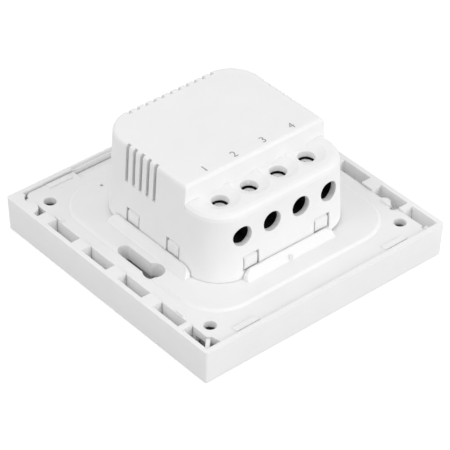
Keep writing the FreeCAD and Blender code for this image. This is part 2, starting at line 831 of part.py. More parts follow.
def terminal_cage(x):
    """Rising cage around the bar, in its low position."""
    top = cage_top
    low = bar_low - cage_open - cage_wall
    y0 = terminal_y - cage_front
    y1 = terminal_y + cage_back
    body = block(x - cage_wide / 2, x + cage_wide / 2, y0, y1, low, top)
    body = bevelled(body, 0.4, lambda e: abs(e.Vertexes[0].Y - e.Vertexes[1].Y) > 1)
    body = body.cut(block(x - cage_wide / 2 + cage_wall, x + cage_wide / 2 - cage_wall,
                          y0 - 1, y1 + 1, low + cage_wall, top - cage_wall))
    return body.cut(post(x, terminal_y, screw_r + screw_fit, top - cage_wall - 0.5, top + 1))


def terminal_screw(x):
    """Clamp screw whose end rests on the bar."""
    head = post(x, terminal_y, screw_head_r, head_low, head_top)
    shaft = post(x, terminal_y, screw_r, bar_top + 0.02, head_low)
    return join([head, shaft])


def rocker(side):
    """Rocker with walls, ears, pivot pins, end stops and an actuator."""
    x0 = rocker_split / 2
    x1 = rocker_outer
    y = rocker_outer
    wide = x1 - x0
    mid = rocker_mid
    back = rocker_back + rocker_wall_deep
    start = rocker_recess + rocker_edge_r
    body = join([round_slab(wide / 2, y, frame_corner_r, start, back)]
                + edge_bands(wide / 2, y, frame_corner_r, 0, start, rocker_edge_r, -1, 1))
    body.translate(V(mid, 0, 0))
    body = body.cut(block(x0 + rocker_wall, x1 - rocker_wall, -y + rocker_wall, y - rocker_wall,
                          rocker_back, back + 1))
    added = []
    for s in (-1, 1):
        ear = slab(mid + s * ear_x, pivot_y, ear_thick, ear_long, rocker_back - 0.2,
                   pivot_z + 1.2)
        inner = mid + s * ear_x
        outer = inner + s * (ear_thick / 2 + pivot_long)
        added += [ear, rod_x(min(inner, outer), max(inner, outer), pivot_y, pivot_z, pivot_r)]
        added.append(block(mid + s * rocker_rib_x - 0.5, mid + s * rocker_rib_x + 0.5,
                           -y + 0.5, y - 0.5, rocker_back - 0.2, back - 0.8))
        added.append(block(mid + s * ear_x - stop_long / 2, mid + s * ear_x + stop_long / 2,
                           -y - stop_reach, -y + rocker_wall, border_thick + stop_gap,
                           border_thick + stop_gap + stop_thick))
    added.append(slab(mid, press_y, 2 * press_half, 2 * press_half, rocker_back - 0.2,
                      stem_low - stem_gap))
    added.append(slab(mid, press_y, 2 * rocker_rib_x, 1.0, rocker_back - 0.2, back - 0.8))
    body = join([body] + added)
    body = body.cut(post(mid, lens_y, lens_r + lens_fit, rocker_recess - 1, rocker_back + 1))
    return body if side > 0 else mirrored_x(body)


def indicator(side):
    """Small lens in a rocker, held by its flange."""
    x = side * rocker_mid
    tip = post(x, lens_y, lens_r, rocker_recess, rocker_back + 0.2)
    flange = post(x, lens_y, lens_flange_r, rocker_back + 0.02, rocker_back + lens_flange_thick)
    return join([tip, flange])


def light_guides():
    """Clear rods through the plate, between the lenses and the lights."""
    low = rocker_back + lens_flange_thick + guide_gap + 0.1
    top = control_low - led_high - guide_gap
    rods = []
    for side in (-1, 1):
        x = side * rocker_mid
        rod = slab(x, lens_y, 2 * guide_half, 2 * guide_half, low, top)
        flange = slab(x, lens_y, 2 * guide_half + 1.6, 2 * guide_half + 1.6, rim_z + 0.02, top)
        rods.append(join([rod, flange]))
    return Part.makeCompound(rods)


def board_half(z):
    """Half of the side of a board that fits the housing at height z."""
    return box_half(z) - box_wall - 1.6 * board_gap


def control_half():
    """Half of the control board's side, inside the snap hooks."""
    return (box_half(rim_z + hook_high) - box_wall - hook_wall_gap - hook_thick) - board_gap


def peg_places():
    """Places of the two pegs, near opposite corners of the control board."""
    corner = control_half() - (box_r(control_top) - box_wall)
    x, y = corner + peg_over_x, corner + peg_over_y
    return [(x, y), (-x, -y)]


def header_xs():
    """Places of the header's pins along X."""
    step = header_wide / header_pins
    return [(i - (header_pins - 1) / 2) * step for i in range(header_pins)]


def control_board():
    """Board with the radio, the tact switches and the lights."""
    half = control_half()
    body = facet_slab(half, box_r(control_top) - box_wall, control_low, control_top)
    cuts = []
    side = 2 * (peg_half + peg_gap)
    for x, y in peg_places():
        cuts.append(slab(x, y, side, side, control_low - 1, control_top + 1))
    for s in (-1, 1):
        cuts.append(post(0, s * board_screw_y, board_screw_r + peg_gap, control_low - 1,
                         control_top + 1))
    return body.cut(cuts + header_ways(control_low, control_top))


def header_ways(z0, z1):
    """Cutters for the header's pins through a board."""
    side = header_pin_side + 0.2
    return [slab(x, header_y, side, side, z0 - 1, z1 + 1) for x in header_xs()]


def power_board():
    """Board with the relays, the supply and the terminals."""
    half = board_half(power_top)
    body = facet_slab(half, box_r(power_top) - box_wall, power_low, power_top)
    cuts = []
    for x in terminal_xs:
        back = terminal_y + cell_back + bar_thick + 0.1
        cuts.append(block(x - tail_wide / 2 - 0.1, x + tail_wide / 2 + 0.1,
                          back - bar_thick - 0.1, back + 0.1, power_low - 1, power_top + 1))
    return body.cut(cuts + header_ways(power_low, power_top))


def board_header():
    """Header that joins the two boards."""
    body = slab(0, header_y, header_wide, header_deep, control_top, power_low)
    pins = [slab(x, header_y, header_pin_side, header_pin_side, control_low - header_pin_out,
                 power_top + header_pin_out) for x in header_xs()]
    return join([body] + pins)


def insulating_sheet():
    """Sheet between the two boards."""
    half = control_half() - 0.5
    low = control_top + radio_thick + can_high + sheet_gap
    body = facet_slab(half, box_r(control_top) - box_wall, low, low + sheet_thick)
    cuts = [slab(0, header_y, header_wide + 0.6, header_deep + 0.6, low - 1, low + 2)]
    side = 2 * (peg_half + 2 * peg_gap)
    for x, y in peg_places():
        cuts.append(slab(x, y, side, side, low - 1, low + 2))
    return body.cut(cuts)


def shield_can():
    """Thin can over the radio chips, open below."""
    low = control_top + radio_thick
    body = slab(0, radio_y, can_wide, can_deep, low, low + can_high)
    body = bevelled(body, 0.3, lambda e: level(e, low + can_high))
    return body.cut(slab(0, radio_y, can_wide - 2 * can_wall, can_deep - 2 * can_wall,
                         low - 1, low + can_high - can_wall))


def tact_switch(side):
    """Body of a tact switch under the control board."""
    x = side * rocker_mid
    body = slab(x, press_y, tact_side, tact_side, tact_low, control_low)
    side = 2 * (stem_half + stem_fit)
    return body.cut(slab(x, press_y, side, side, tact_low - 1,
                         tact_low + stem_in + stem_travel + 0.3))


def tact_stem(side):
    """Stem that a rocker's actuator pushes into its tact switch."""
    return slab(side * rocker_mid, press_y, 2 * stem_half, 2 * stem_half, stem_low,
                tact_low + stem_in)


def board_screws():
    """Screws that hold the control board on the plate."""
    screws = []
    for sy in (-1, 1):
        y = sy * board_screw_y
        head = post(0, y, board_screw_head_r, control_top, control_top + board_screw_head_high)
        shaft = post(0, y, board_screw_r, control_top - board_screw_long, control_top)
        screws.append(join([head, shaft]))
    return Part.makeCompound(screws)


def indicator_leds():
    """Lights under the control board, over the light guides."""
    return Part.makeCompound([slab(side * rocker_mid, lens_y, led_side, led_side,
                                   control_low - led_high, control_low) for side in (-1, 1)])


def relay(number):
    """Relay on the power board, beside the -X wall."""
    left = -board_half(power_top) + 1.2 + number * (relay_wide + relay_apart)
    top = box_top - box_wall - relay_head_gap
    body = block(left, left + relay_wide, relay_y - relay_long / 2, relay_y + relay_long / 2,
                 power_top, top)
    return rounded(body, relay_edge_r, lambda e: level(e, top))


def supply_left():
    """X at which the free part of the power board starts, beside the relays."""
    return -board_half(power_top) + 1.2 + 2 * relay_wide + relay_apart + part_apart


def transformer():
    """Ferrite core with a bobbin between two flanges."""
    x = supply_left() + 1 + core_side / 2
    y = relay_y - relay_long / 2 + core_side / 2
    core = slab(x, y, core_side, core_side * 0.45, power_top + bobbin_flange,
                power_top + core_high)
    window = slab(x, y, core_side * 0.62, core_side, power_top + 2 * bobbin_flange,
                  power_top + core_high - bobbin_flange)
    flanges = [slab(x, y, core_side * 0.62, core_side, z, z + bobbin_flange)
               for z in (power_top, power_top + core_high - bobbin_flange)]
    winding = slab(x, y, core_side * 0.62, core_side * 0.84, power_top + bobbin_flange,
                   power_top + core_high - bobbin_flange)
    return join([core.cut(window), winding] + flanges)


def smoothing_capacitors():
    """Two round capacitors beside the transformer."""
    x = supply_left() + 1 + core_side + part_apart + smooth_r
    y = relay_y - relay_long / 2 + smooth_r
    cans = []
    for i in range(2):
        cans.append(post(x, y + i * (2 * smooth_r + smooth_apart), smooth_r, power_top,
                         power_top + smooth_high))
    return Part.makeCompound(cans)


def suppression_capacitor():
    """Box capacitor behind the transformer."""
    x0 = supply_left() + 1
    y0 = relay_y - relay_long / 2 + core_side + part_apart + 1.2
    return block(x0, x0 + film_wide, y0, y0 + film_deep, power_top, power_top + film_high)


def varistor():
    """Disc on edge, behind the box capacitor."""
    x = supply_left() + 1 + film_wide / 2
    y0 = relay_y - relay_long / 2 + core_side + film_deep + 2 * part_apart + 1.2
    disc = rod_y(x, y0, y0 + disc_thick, power_top + disc_r + 1, disc_r)
    return join([disc, block(x - 2.2, x + 2.2, y0 + 1, y0 + disc_thick - 1, power_top,
                             power_top + 2)])


def fusible_resistor():
    """Resistor lying behind the relays, on two bent leads."""
    x0 = -fuse_long - 5
    y = relay_y + relay_long / 2 + part_apart + fuse_r + 0.6
    z = power_top + fuse_r + 0.3
    body = rod_x(x0, x0 + fuse_long, y, z, fuse_r)
    legs = []
    r = fuse_lead_r
    for x, s in ((x0, -1), (x0 + fuse_long, 1)):
        end = x + s * 1.2
        legs.append(block(min(x, end), max(x, end), y - r, y + r, z - r, z + r))
        legs.append(block(end - r, end + r, y - r, y + r, power_top, z + r))
    return join([body] + legs)


def rectifier():
    """Flat bridge rectifier behind the second relay."""
    y = relay_y + relay_long / 2 + part_apart + bridge_deep / 2
    return slab(-0.4, y, bridge_wide, bridge_deep, power_top, power_top + bridge_high)


def radio_module():
    """Small board of the radio, on the control board."""
    return slab(0, radio_y, radio_wide, radio_deep, control_top, control_top + radio_thick)


def write(name, shape):
    """One STEP file for a piece."""
    shape.exportStep("parts/" + name + ".step")


def main():
    """Every piece of the switch."""
    os.makedirs("parts", exist_ok=True)
    write("front_frame", front_frame())
    write("mounting_plate", mounting_plate())
    write("rear_housing", rear_housing())
    for name, side in (("left", 1), ("right", -1)):
        write("rocker_" + name, rocker(side))
        write("indicator_" + name, indicator(side))
        write("tact_switch_" + name, tact_switch(side))
        write("tact_stem_" + name, tact_stem(side))
    write("light_guides", light_guides())
    write("indicator_leds", indicator_leds())
    write("terminal_block", terminal_block())
    write("terminal_bars", terminal_bars())
    for i, x in enumerate(terminal_xs):
        write("terminal_screw_%d" % (i + 1), terminal_screw(x))
        write("terminal_cage_%d" % (i + 1), terminal_cage(x))
    write("power_board", power_board())
    write("control_board", control_board())
    write("relay_1", relay(0))
    write("relay_2", relay(1))
    write("transformer", transformer())
    write("smoothing_capacitors", smoothing_capacitors())
    write("suppression_capacitor", suppression_capacitor())
    write("varistor", varistor())
    write("fusible_resistor", fusible_resistor())
    write("rectifier", rectifier())
    write("board_header", board_header())
    write("board_screws", board_screws())
    write("insulating_sheet", insulating_sheet())
    write("radio_module", radio_module())
    write("shield_can", shield_can())


main()
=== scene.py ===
"""Smart light switch for two lamps, lying on its front face, dressed over its CAD frame."""
from __future__ import annotations

import logging
import math
from dataclasses import dataclass
from enum import Enum
from typing import Callable

import bmesh
import bpy
from mathutils import Matrix, Vector


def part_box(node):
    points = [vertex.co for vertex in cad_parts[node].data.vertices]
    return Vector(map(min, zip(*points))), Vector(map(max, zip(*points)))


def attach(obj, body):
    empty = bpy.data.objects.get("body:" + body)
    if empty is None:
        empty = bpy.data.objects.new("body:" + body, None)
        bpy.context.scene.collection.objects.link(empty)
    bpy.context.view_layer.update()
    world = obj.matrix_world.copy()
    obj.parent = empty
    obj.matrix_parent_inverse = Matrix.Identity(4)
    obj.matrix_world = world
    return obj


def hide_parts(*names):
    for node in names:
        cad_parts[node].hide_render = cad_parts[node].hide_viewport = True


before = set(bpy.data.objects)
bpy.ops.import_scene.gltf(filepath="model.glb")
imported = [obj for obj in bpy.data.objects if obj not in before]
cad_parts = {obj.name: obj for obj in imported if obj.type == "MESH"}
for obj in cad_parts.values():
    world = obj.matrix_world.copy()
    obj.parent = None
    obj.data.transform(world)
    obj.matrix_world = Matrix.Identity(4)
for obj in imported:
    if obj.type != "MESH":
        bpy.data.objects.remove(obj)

MM = 0.001
# Metres by which a corner may miss a height and still count as on it.
SLACK = 1e-6
# Least part of a level face's normal that points up or down.
LEVEL_FACE = 0.9
# Metres between the bands of a wave texture of scale 1.
WAVE_PERIOD = 0.314
TERMINALS = range(1, 5)
LOG = logging.getLogger("light_switch")

Colour = tuple[float, float, float, float]
Point = tuple[float, float, float]
Socket = bpy.types.NodeSocket

WHITE: Colour = (1.0, 1.0, 1.0, 1.0)


class Axis(Enum):
    """Direction that a surface's marks or bands follow."""

    X = 0
    Y = 1
    Z = 2


class Grain(Enum):
    """Structure of a moulded surface: range of roughness, size of a lump, strength of the bump."""

    SPARK = (0.50, 0.62, 0.16 * MM, 0.30)
    SATIN = (0.30, 0.42, 0.30 * MM, 0.14)
    POLISHED = (0.16, 0.24, 1.2 * MM, 0.05)


class Side(Enum):
    """Side of the switch, as seen by a person who looks at its front face."""

    LEFT = "left"
    RIGHT = "right"


class Element(Enum):
    """Kind of mesh element, with the name of its list in a mesh."""

    EDGE = "edges"
    FACE = "faces"


class Join(Enum):
    """Way to bring two solids together, as the Boolean modifier names it."""

    ADD = "UNION"
    CUT = "DIFFERENCE"


def linear(grey: float) -> float:
    """Linear value of one channel.

    Args:
        grey: Channel value from 0 to 255, as in a picture.

    Returns:
        The channel as a linear value from 0 to 1.
    """
    c = grey / 255.0
    return c / 12.92 if c <= 0.04045 else ((c + 0.055) / 1.055) ** 2.4


def rgb(r: float, g: float, b: float) -> Colour:
    """Linear colour with full alpha.

    Args:
        r: Red from 0 to 255.
        g: Green from 0 to 255.
        b: Blue from 0 to 255.

    Returns:
        The colour as a shader socket takes it.
    """
    return (linear(r), linear(g), linear(b), 1.0)


def scaled(colour: Colour, by: float) -> Colour:
    """Colour made darker or lighter.

    Args:
        colour: Linear colour.
        by: Factor on red, green and blue.

    Returns:
        The new colour, held at or below 1.
    """
    return tuple(min(1.0, c * by) for c in colour[:3]) + (1.0,)


class Tree:
    """Short way to write one material's nodes."""

    def __init__(self, name: str) -> None:
        """Starts a material with only a Principled shader and an output.

        Args:
            name: Name of the material.
        """
        self.material = bpy.data.materials.new(name)
        self.material.use_nodes = True
        self.nodes = self.material.node_tree.nodes
        self.links = self.material.node_tree.links
        self.nodes.clear()
        self.shader = self.nodes.new("ShaderNodeBsdfPrincipled")
        output = self.nodes.new("ShaderNodeOutputMaterial")
        self.links.new(self.shader.outputs[0], output.inputs["Surface"])
        self.place = self.nodes.new("ShaderNodeTexCoord").outputs["Object"]

    def fix(self, **sockets: float | Point) -> None:
        """Sets the shader's own sockets.

        Args:
            sockets: Socket names with underscores for spaces, and their values.
        """
        for name, value in sockets.items():
            self.shader.inputs[name.replace("_", " ")].default_value = value

    def stretched(self, by: Point) -> Socket:
        """Object coordinates with a factor on each axis.

        Args:
            by: Factors along X, Y and Z. A small one draws a pattern out along its axis.

        Returns:
            The coordinate socket.
        """
        node = self.nodes.new("ShaderNodeMapping")
        node.inputs["Scale"].default_value = by
        self.links.new(self.place, node.inputs["Vector"])
        return node.outputs["Vector"]

    def noise(self, size: float, detail: float = 3.0, rough: float = 0.55,
              place: Socket | None = None) -> Socket:
        """Cloudy value whose lumps have a real size.

        Args:
            size: Rough size of a lump in metres.
            detail: Number of finer octaves.
            rough: Share of the finer octaves.
            place: Coordinates, or None for the plain object ones.

        Returns:
            The value socket.
        """
        node = self.nodes.new("ShaderNodeTexNoise")
        node.inputs["Scale"].default_value = 1.0 / size
        node.inputs["Detail"].default_value = detail
        node.inputs["Roughness"].default_value = rough
        self.links.new(place or self.place, node.inputs["Vector"])
        return node.outputs["Fac"]

    def ramp(self, value: Socket, low: Colour, high: Colour,
             start: float = 0.3, stop: float = 0.7) -> Socket:
        """Colour that goes from one to another with a value.

        Args:
            value: Value socket.
            low: Colour up to the start.
            high: Colour from the stop on.
            start: Value at which the change starts.
            stop: Value at which it ends.

        Returns:
            The colour socket.
        """
        node = self.nodes.new("ShaderNodeValToRGB")
        for element, at, colour in zip(node.color_ramp.elements, (start, stop), (low, high)):
            element.position = at
            element.color = colour
        self.links.new(value, node.inputs["Fac"])
        return node.outputs["Color"]

    def span(self, value: Socket, low: float, high: float,
             start: float = 0.3, stop: float = 0.7) -> Socket:
        """Value moved from one range to another.

        Args:
            value: Value socket.
            low: Result at the range's start.
            high: Result at the range's end.
            start: Start of the range.
            stop: End of the range.

        Returns:
            The new value socket.
        """
        node = self.nodes.new("ShaderNodeMapRange")
        ends = {"From Min": start, "From Max": stop, "To Min": low, "To Max": high}
        for name, number in ends.items():
            node.inputs[name].default_value = number
        self.links.new(value, node.inputs["Value"])
        return node.outputs["Result"]

    def blend(self, share: Socket, first: Socket | Colour, second: Socket | Colour) -> Socket:
        """Mix of two colours.

        Args:
            share: Value socket, 0 for the first and 1 for the second.
            first: Colour socket or linear colour.
            second: Colour socket or linear colour.

        Returns:
            The colour socket.
        """
        node = self.nodes.new("ShaderNodeMix")
        node.data_type = "RGBA"
        self.links.new(share, node.inputs["Factor"])
        for name, colour in (("A", first), ("B", second)):
            socket = [s for s in node.inputs if s.name == name and s.type == "RGBA"][0]
            if isinstance(colour, tuple):
                socket.default_value = colour
            else:
                self.links.new(colour, socket)
        return [s for s in node.outputs if s.type == "RGBA"][0]

    def add(self, first: Socket, second: Socket) -> Socket:
        """Sum of two values.

        Args:
            first: Value socket.
            second: Value socket.

        Returns:
            The sum's socket.
        """
        node = self.nodes.new("ShaderNodeMath")
        node.operation = "ADD"
        self.links.new(first, node.inputs[0])
        self.links.new(second, node.inputs[1])
        return node.outputs[0]

    def colour(self, socket: Socket) -> None:
        """Feeds the shader's base colour.

        Args:
            socket: Colour socket.
        """
        self.links.new(socket, self.shader.inputs["Base Color"])

    def roughness(self, socket: Socket) -> None:
        """Feeds the shader's roughness.

        Args:
            socket: Value socket.
        """
        self.links.new(socket, self.shader.inputs["Roughness"])

    def relief(self, height: Socket, depth: float, strength: float, edge: float = 0.0) -> None:
        """Bump from a height, over softened edges.

        Args:
            height: Value socket.
            depth: Depth of the relief in metres.
            strength: Strength of the bump.
            edge: Radius of softened edges in metres, or 0 for none.
        """
        bump = self.nodes.new("ShaderNodeBump")
        bump.inputs["Distance"].default_value = depth
        bump.inputs["Strength"].default_value = strength
        self.links.new(height, bump.inputs["Height"])
        if edge > 0:
            soft = self.nodes.new("ShaderNodeBevel")
            soft.samples = 6
            soft.inputs["Radius"].default_value = edge
            self.links.new(soft.outputs["Normal"], bump.inputs["Normal"])
        self.links.new(bump.outputs["Normal"], self.shader.inputs["Normal"])


@dataclass(frozen=True)
class Moulded:
    """Moulded plastic, or print on it, with faint clouds, a fine grain and softened edges.

    Attributes:
        name: Name of the finish.
        tone: Main colour.
        grain: Fine structure from the mould.
        cloud: Depth of the slight colour change over the surface.
        cloud_size: Size of that change.
        edge: Radius of the mould's softened edges.
        depth: How far light wanders inside the plastic, or 0 for none.
    """

    name: str
    tone: Colour
    grain: Grain
    cloud: float
    cloud_size: float = 9 * MM
    edge: float = 0.18 * MM
    depth: float = 0.0

    def make(self) -> bpy.types.Material:
        """Builds the material.

        Returns:
            The finished material.
        """
        t = Tree(self.name)
        smooth, matt, lump, strength = self.grain.value
        coarse = t.noise(self.cloud_size, detail=4.0)
        speck = t.noise(0.35 * MM, detail=2.0)
        tone = t.ramp(coarse, scaled(self.tone, 1 - self.cloud), scaled(self.tone, 1 + self.cloud))
        share = t.span(speck, low=0.0, high=0.25, start=0.55, stop=0.8)
        t.colour(t.blend(share, tone, scaled(self.tone, 1 - 2.5 * self.cloud)))
        t.roughness(t.span(coarse, low=smooth, high=matt))
        t.relief(t.noise(lump, rough=0.6), depth=0.02 * MM, strength=strength, edge=self.edge)
        t.fix(Specular_IOR_Level=0.42, IOR=1.5)
        if self.depth > 0:
            t.fix(Subsurface_Weight=0.35, Subsurface_Radius=(1.0, 1.0, 1.0),
                  Subsurface_Scale=self.depth)
        return t.material


@dataclass(frozen=True)
class Plated:
    """Plated metal or plain brass with drawn marks along one axis.

    Attributes:
        name: Name of the finish.
        tone: Main colour.
        shine: About the mean roughness.
        along: Axis that the drawn marks follow.
        stain: Colour of the dull patches.
        drawn: Factor that draws the marks out along their axis.
    """

    name: str
    tone: Colour
    shine: float
    along: Axis
    stain: Colour
    drawn: float = 0.06

    def make(self) -> bpy.types.Material:
        """Builds the material.

        Returns:
            The finished material.
        """
        t = Tree(self.name)
        stretch = [1.0, 1.0, 1.0]
        stretch[self.along.value] = self.drawn
        marks = t.noise(0.12 * MM, detail=4.0, rough=0.6, place=t.stretched(tuple(stretch)))
        patches = t.noise(1.6 * MM, detail=4.0)
        share = t.span(patches, low=0.0, high=0.45, start=0.5, stop=0.75)
        t.colour(t.blend(share, self.tone, self.stain))
        t.roughness(t.span(t.add(marks, patches), low=self.shine - 0.08, high=self.shine + 0.18,
                           start=0.7, stop=1.3))
        t.relief(marks, depth=0.01 * MM, strength=0.25, edge=0.08 * MM)
        t.fix(Metallic=1.0)
        return t.material


@dataclass(frozen=True)
class Board:
    """Circuit board: solder mask over tracks, with a weave below it.

    Attributes:
        name: Name of the finish.
        mask: Colour of the mask on bare laminate.
        track: Colour of the mask over copper.
        track_size: Rough width of a track.
        cell: Rough distance between tracks, as a multiple of that width.
    """

    name: str
    mask: Colour
    track: Colour
    track_size: float = 1.1 * MM
    cell: float = 3.2

    def make(self) -> bpy.types.Material:
        """Builds the material.

        Returns:
            The finished material.
        """
        t = Tree(self.name)
        cells = t.nodes.new("ShaderNodeTexVoronoi")
        cells.distance = "CHEBYCHEV"
        cells.feature = "DISTANCE_TO_EDGE"
        cells.inputs["Scale"].default_value = 1.0 / (self.cell * self.track_size)
        t.links.new(t.place, cells.inputs["Vector"])
        copper = t.span(cells.outputs["Distance"], low=1.0, high=0.0, start=0.20, stop=0.24)
        weave = t.noise(0.25 * MM, detail=2.0, rough=0.5, place=t.stretched((1.0, 0.3, 1.0)))
        tone = t.blend(copper, self.mask, self.track)
        t.colour(t.blend(t.span(weave, low=0.0, high=0.3), tone, scaled(self.mask, 0.8)))
        t.roughness(t.span(weave, low=0.25, high=0.38))
        t.relief(t.add(copper, weave), depth=0.03 * MM, strength=0.35)
        return t.material


@dataclass(frozen=True)
class Coated:
    """Dipped, wound or sleeved surface with a slow shine change.

    Attributes:
        name: Name of the finish.
        tone: Main colour.
        second: Colour of the bands, or of the clouds where there are no bands.
        shine: About the mean roughness.
        band: Distance between bands, or 0 for none.
        along: Axis that the bands follow one another along.
    """

    name: str
    tone: Colour
    second: Colour
    shine: float
    band: float = 0.0
    along: Axis = Axis.Z

    def make(self) -> bpy.types.Material:
        """Builds the material.

        Returns:
            The finished material.
        """
        t = Tree(self.name)
        cloud = t.noise(2.2 * MM)
        height = cloud
        if self.band:
            wave = t.nodes.new("ShaderNodeTexWave")
            wave.bands_direction = self.along.name
            wave.inputs["Scale"].default_value = WAVE_PERIOD / self.band
            wave.inputs["Distortion"].default_value = 0.4
            t.links.new(t.place, wave.inputs["Vector"])
            height = wave.outputs["Fac"]
            share = t.span(height, low=0.0, high=0.8, start=0.2, stop=0.8)
        else:
            share = t.span(cloud, low=0.0, high=0.35, start=0.45, stop=0.75)
        t.colour(t.blend(share, self.tone, self.second))
        t.roughness(t.span(cloud, low=self.shine - 0.06, high=self.shine + 0.1))
        t.relief(height, depth=0.05 * MM, strength=0.3)
        return t.material


@dataclass(frozen=True)
class Clear:
    """Clear or milky plastic that passes light.

    Attributes:
        name: Name of the finish.
        tone: Tint of the plastic.
        milk: About the roughness of the way through.
        passes: Share of light that passes.
    """

    name: str
    tone: Colour
    milk: float
    passes: float

    def make(self) -> bpy.types.Material:
        """Builds the material.

        Returns:
            The finished material.
        """
        t = Tree(self.name)
        cloud = t.noise(0.9 * MM)
        t.colour(t.ramp(cloud, scaled(self.tone, 0.93), self.tone))
        t.roughness(t.span(cloud, low=self.milk - 0.05, high=self.milk + 0.08))
        t.relief(cloud, depth=0.02 * MM, strength=0.15)
        t.fix(Transmission_Weight=self.passes, IOR=1.49)
        return t.material


Finish = Moulded | Plated | Board | Coated | Clear

WHITE_FRAME = Moulded("white frame plastic", rgb(243, 243, 243), Grain.SATIN, cloud=0.012,
                      depth=1 * MM)
WHITE_PLATE = Moulded("white plate plastic", rgb(242, 242, 242), Grain.SPARK, cloud=0.014,
                      depth=1 * MM)
WHITE_HOUSING = Moulded("white housing plastic", rgb(243, 243, 243), Grain.SPARK, cloud=0.014,
                        cloud_size=12 * MM, edge=0.25 * MM, depth=1 * MM)
WHITE_ROCKER = Moulded("white rocker plastic", rgb(244, 244, 244), Grain.POLISHED, cloud=0.01)
BLACK_TERMINAL = Moulded("black terminal plastic", rgb(26, 26, 28), Grain.SATIN, cloud=0.06,
                         cloud_size=3 * MM, edge=0.08 * MM)
BLACK_SWITCH = Moulded("black switch plastic", rgb(36, 36, 38), Grain.SPARK, cloud=0.06,
                       cloud_size=3 * MM, edge=0.1 * MM)
BLACK_RELAY = Moulded("black relay plastic", rgb(30, 31, 33), Grain.SATIN, cloud=0.06,
                      cloud_size=4 * MM, edge=0.15 * MM)
BROWN_STEM = Moulded("brown stem plastic", rgb(150, 92, 48), Grain.SATIN, cloud=0.05,
                     cloud_size=2 * MM, edge=0.1 * MM)
YELLOW_FILM = Moulded("yellow capacitor plastic", rgb(218, 190, 88), Grain.SATIN, cloud=0.03,
                      cloud_size=4 * MM, edge=0.3 * MM)
DARK_RECTIFIER = Moulded("dark rectifier plastic", rgb(40, 40, 42), Grain.SPARK, cloud=0.08,
                         cloud_size=2 * MM, edge=0.15 * MM)
PIN_PLASTIC = Moulded("black header plastic", rgb(30, 30, 30), Grain.SATIN, cloud=0.08,
                      cloud_size=2 * MM, edge=0.05 * MM)
PRINT_INK = Moulded("grey print ink", rgb(148, 148, 150), Grain.SATIN, cloud=0.05,
                    cloud_size=1 * MM, edge=0.0)
SCREW_STEEL = Plated("nickel plated screw steel", rgb(240, 240, 240), shine=0.5,
                     along=Axis.X, stain=rgb(214, 212, 208))
CAGE_STEEL = Plated("zinc plated cage steel", rgb(205, 205, 208), shine=0.26,
                    along=Axis.Y, stain=rgb(150, 148, 144))
BAR_BRASS = Plated("bar brass", rgb(206, 176, 108), shine=0.3,
                   along=Axis.Y, stain=rgb(158, 124, 74))
CAN_METAL = Plated("tinned can metal", rgb(200, 202, 204), shine=0.3,
                   along=Axis.X, stain=rgb(160, 162, 166))
GREEN_BOARD = Board("green board", rgb(22, 96, 48), rgb(40, 128, 66))
RADIO_BOARD = Board("dark radio board", rgb(22, 30, 38), rgb(38, 50, 62), track_size=0.5 * MM)
WINDING_TAPE = Coated("winding tape over dark core", rgb(208, 178, 60), rgb(52, 48, 46),
                      shine=0.4, band=7.2 * MM, along=Axis.Z)
RESISTOR_COAT = Coated("banded resistor coat", rgb(104, 140, 116), rgb(66, 50, 44),
                       shine=0.35, band=2.4 * MM, along=Axis.X)
CAN_SLEEVE = Coated("capacitor sleeve", rgb(30, 34, 58), rgb(44, 50, 80), shine=0.3)
BLUE_COAT = Coated("blue varistor coat", rgb(44, 96, 168), rgb(34, 80, 146), shine=0.28)
SHEET_FILM = Coated("dark insulating film", rgb(58, 58, 56), rgb(48, 48, 47), shine=0.5)
MILKY_LENS = Clear("milky lens plastic", rgb(226, 232, 238), milk=0.3, passes=0.45)
CLEAR_GUIDE = Clear("clear guide plastic", rgb(236, 242, 246), milk=0.1, passes=0.85)
LIGHT_RESIN = Clear("light resin", rgb(246, 238, 190), milk=0.25, passes=0.5)


class Paints:
    """Keeps one material for each finish."""

    made: dict[Finish, bpy.types.Material] = {}

    @classmethod
    def of(cls, finish: Finish) -> bpy.types.Material:
        """Material of a finish, built on first use.

        Args:
            finish: One of the finishes above.

        Returns:
            The material.
        """
        if finish not in cls.made:
            cls.made[finish] = finish.make()
        return cls.made[finish]


def dress(name: str, finish: Finish) -> None:
    """Gives a CAD node a finish.

    Args:
        name: Name of the node.
        finish: One of the finishes above.
    """
    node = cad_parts[name]
    if not node.material_slots:
        node.data.materials.append(None)
    for slot in node.material_slots:
        slot.material = Paints.of(finish)
    LOG.info("%s dressed in %s", name, finish.name)


def nothing_selected() -> None:
    """Leaves edit mode and deselects every object."""
    if bpy.context.mode != "OBJECT":
        bpy.ops.object.mode_set(mode="OBJECT")
    bpy.ops.object.select_all(action="DESELECT")


def only(obj: bpy.types.Object) -> None:
    """Makes one object the selected and active one.

    Args:
        obj: The object.
    """
    nothing_selected()
    obj.select_set(True)
    bpy.context.view_layer.objects.active = obj


def pick(obj: bpy.types.Object, kind: Element,
         wanted: Callable[[bmesh.types.BMEdge | bmesh.types.BMFace], bool]) -> None:
    """Selects the edges or faces that a test picks, in edit mode.

    Args:
        obj: Object in edit mode.
        kind: Kind of element to pick.
        wanted: Test on one element.
    """
    bpy.ops.mesh.select_mode(type=kind.name)
    bpy.ops.mesh.select_all(action="DESELECT")
    mesh = bmesh.from_edit_mesh(obj.data)
    for element in getattr(mesh, kind.value):
        element.select_set(wanted(element))
    bmesh.update_edit_mesh(obj.data)


def combine(obj: bpy.types.Object, other: bpy.types.Object, way: Join) -> None:
    """Adds one object to another or cuts it out, and removes it.

    Args:
        obj: Object that stays.
        other: Object that is added or cut out.
        way: Which of the two.
    """
    only(obj)
    step = obj.modifiers.new("combine", "BOOLEAN")
    step.operation = way.value
    step.solver = "EXACT"
    step.object = other
    bpy.ops.object.modifier_apply(modifier=step.name)
    bpy.data.objects.remove(other)


